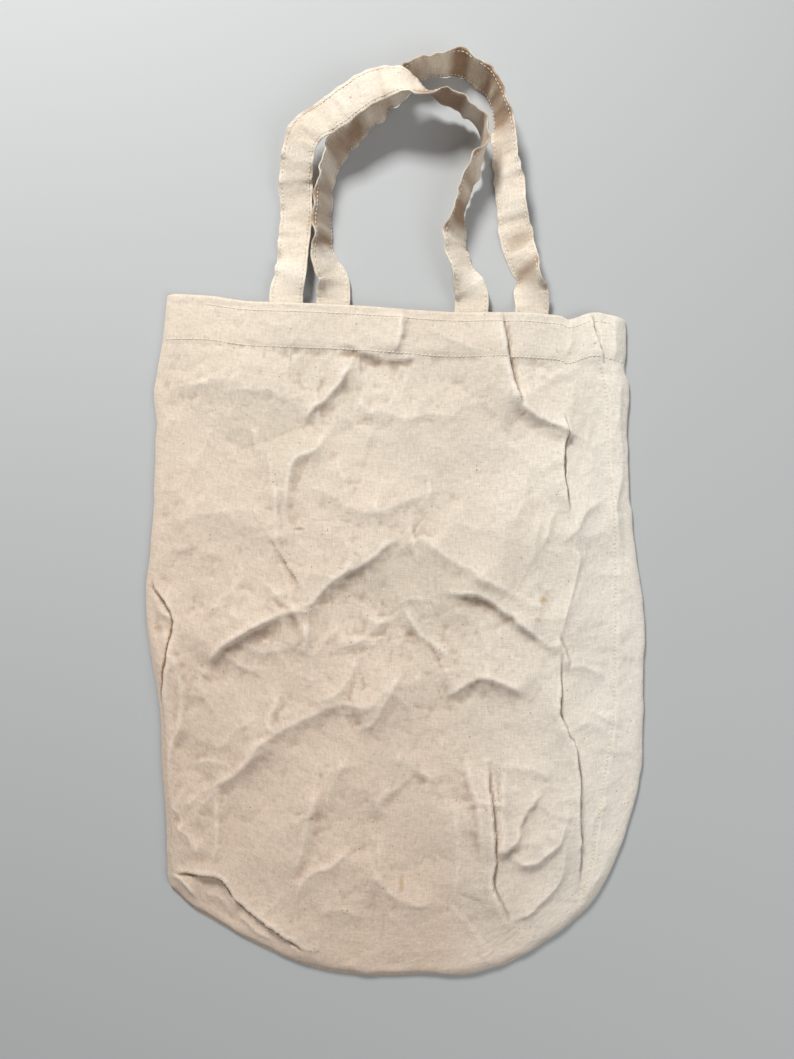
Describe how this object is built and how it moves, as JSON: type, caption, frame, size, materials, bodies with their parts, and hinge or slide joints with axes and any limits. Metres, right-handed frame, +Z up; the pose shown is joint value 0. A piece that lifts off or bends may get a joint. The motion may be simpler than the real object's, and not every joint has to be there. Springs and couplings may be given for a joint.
{
  "type": "canvas tote bag",
  "caption": "Soft natural canvas tote bag lying flat, with boxed bottom corners, a hemmed mouth that opens and two long strap handles that swing.",
  "frame": {"origin": "under the middle of the bag's bounding box, on the surface that the bag lies on", "axes": "+X along the mouth edge to the right as the front is seen, +Y from the bottom of the bag towards its handles, +Z up out of the front face"},
  "size_m": [0.3756, 0.679, 0.0365],
  "materials": {
    "bag_canvas": "matte plain-weave undyed cotton canvas, washed and crumpled",
    "strap_canvas": "matte undyed cotton canvas strap, folded and edge stitched",
    "cotton_thread": "matte cream sewing thread"
  },
  "bodies": {
    "back_side": {"back_panel": "bag_canvas", "back_hem": "bag_canvas", "back_hem_top_stitching": "cotton_thread", "back_hem_lower_stitching": "cotton_thread", "left_seam_allowance": "bag_canvas", "right_seam_allowance": "bag_canvas", "left_seam_topstitching": "cotton_thread", "bottom_seam_allowance": "bag_canvas", "left_boxed_corner_seam": "bag_canvas", "right_boxed_corner_seam": "bag_canvas", "back_handle_left_tail": "strap_canvas", "back_handle_left_tail_stitching": "cotton_thread", "back_handle_right_tail": "strap_canvas", "back_handle_right_tail_stitching": "cotton_thread"},
    "front_side": {"front_panel": "bag_canvas", "front_hem": "bag_canvas", "front_hem_top_stitching": "cotton_thread", "front_hem_lower_stitching": "cotton_thread", "right_seam_topstitching": "cotton_thread", "front_handle_left_tail": "strap_canvas", "front_handle_left_tail_stitching": "cotton_thread", "front_handle_right_tail": "strap_canvas", "front_handle_right_tail_stitching": "cotton_thread"},
    "front_handle": {"front_handle": "strap_canvas", "front_handle_outer_stitching": "cotton_thread", "front_handle_inner_stitching": "cotton_thread"},
    "back_handle": {"back_handle": "strap_canvas", "back_handle_outer_stitching": "cotton_thread", "back_handle_inner_stitching": "cotton_thread"}
  },
  "joints": [
    {"name": "mouth_opening", "type": "hinge", "parent": "back_side", "child": "front_side", "pos_m": [0, -0.33951, 0.00135], "axis": [1, 0, 0], "range_deg": [0, 8]},
    {"name": "front_handle_swing", "type": "hinge", "parent": "front_side", "child": "front_handle", "pos_m": [-0.0242, 0.15849, 0.013], "axis": [1, 0, 0], "range_deg": [0, 165]},
    {"name": "back_handle_swing", "type": "hinge", "parent": "back_side", "child": "back_handle", "pos_m": [0.0156, 0.15849, 0], "axis": [1, 0, 0], "range_deg": [-165, 0]}
  ]
}
